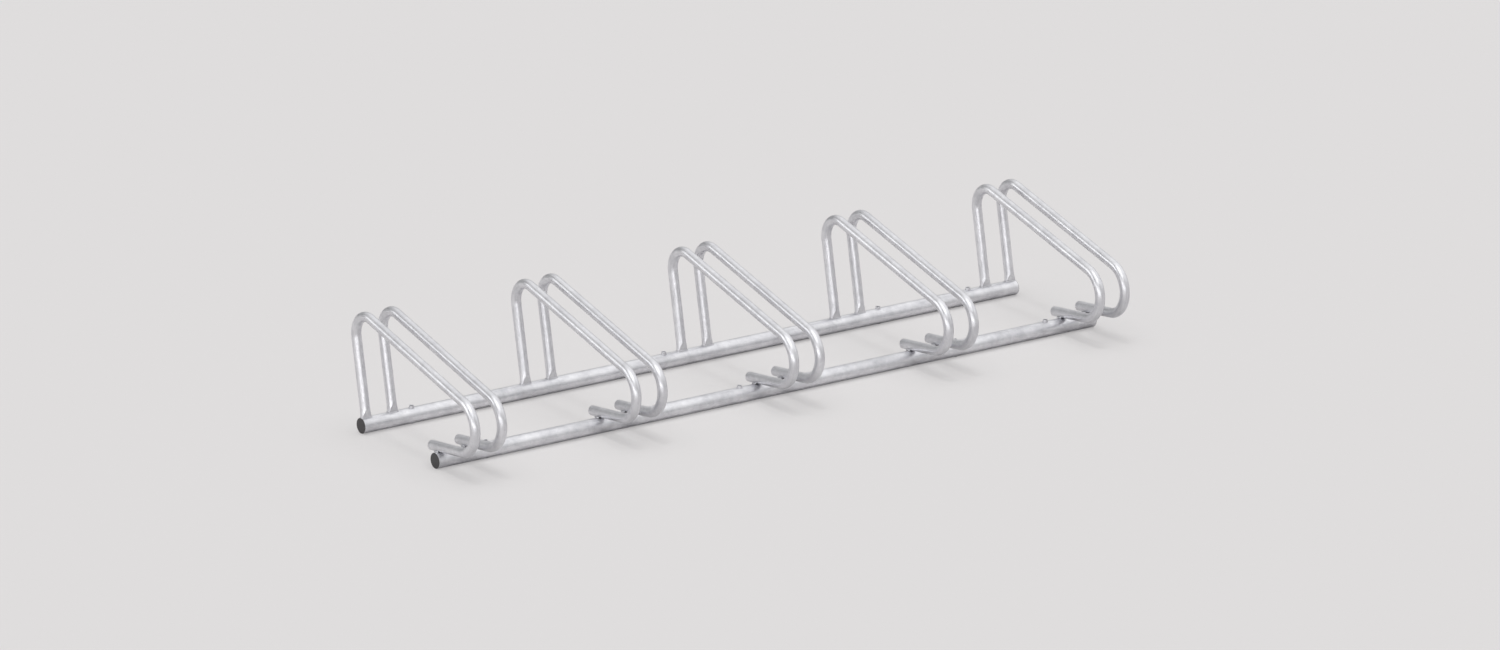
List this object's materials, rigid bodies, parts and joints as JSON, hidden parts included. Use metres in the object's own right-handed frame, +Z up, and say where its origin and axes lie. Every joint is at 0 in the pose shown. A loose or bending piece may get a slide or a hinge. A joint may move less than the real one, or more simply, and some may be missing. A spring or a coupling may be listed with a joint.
{
  "type": "floor bike rack",
  "caption": "Floor bike rack: parallel tubular ground rails carrying pairs of bent tubular hoops that hold bicycle wheels upright.",
  "frame": {"origin": "on the ground, at the middle of the rack's length and depth", "axes": "+X along the rails, +Y from the overhanging front of the hoops towards their rear legs, +Z up"},
  "size_m": [2.1164, 0.5872, 0.3321],
  "materials": {
    "rail_zinc": "hot-dip galvanised steel, pale grey, satin with a faint spangle",
    "hoop_zinc": "hot-dip galvanised steel, pale grey, satin with a faint spangle",
    "sleeve_zinc": "hot-dip galvanised steel, pale grey, satin",
    "weld_zinc": "weld bead under hot-dip zinc, slightly duller",
    "plug_black": "black polyethylene, fine matt"
  },
  "bodies": {
    "root": {"front_rail": "rail_zinc", "back_rail": "rail_zinc", "hoop_1_left": "hoop_zinc", "hoop_1_right": "hoop_zinc", "hoop_2_left": "hoop_zinc", "hoop_2_right": "hoop_zinc", "hoop_3_left": "hoop_zinc", "hoop_3_right": "hoop_zinc", "hoop_4_left": "hoop_zinc", "hoop_4_right": "hoop_zinc", "hoop_5_left": "hoop_zinc", "hoop_5_right": "hoop_zinc", "front_left_plug": "plug_black", "front_right_plug": "plug_black", "back_left_plug": "plug_black", "back_right_plug": "plug_black", "front_sleeve_1": "sleeve_zinc", "front_sleeve_2": "sleeve_zinc", "front_sleeve_3": "sleeve_zinc", "front_sleeve_4": "sleeve_zinc", "back_sleeve_1": "sleeve_zinc", "back_sleeve_2": "sleeve_zinc", "back_sleeve_3": "sleeve_zinc", "back_sleeve_4": "sleeve_zinc", "leg_welds": "weld_zinc", "stub_welds": "weld_zinc", "sleeve_welds": "weld_zinc"}
  },
  "joints": []
}
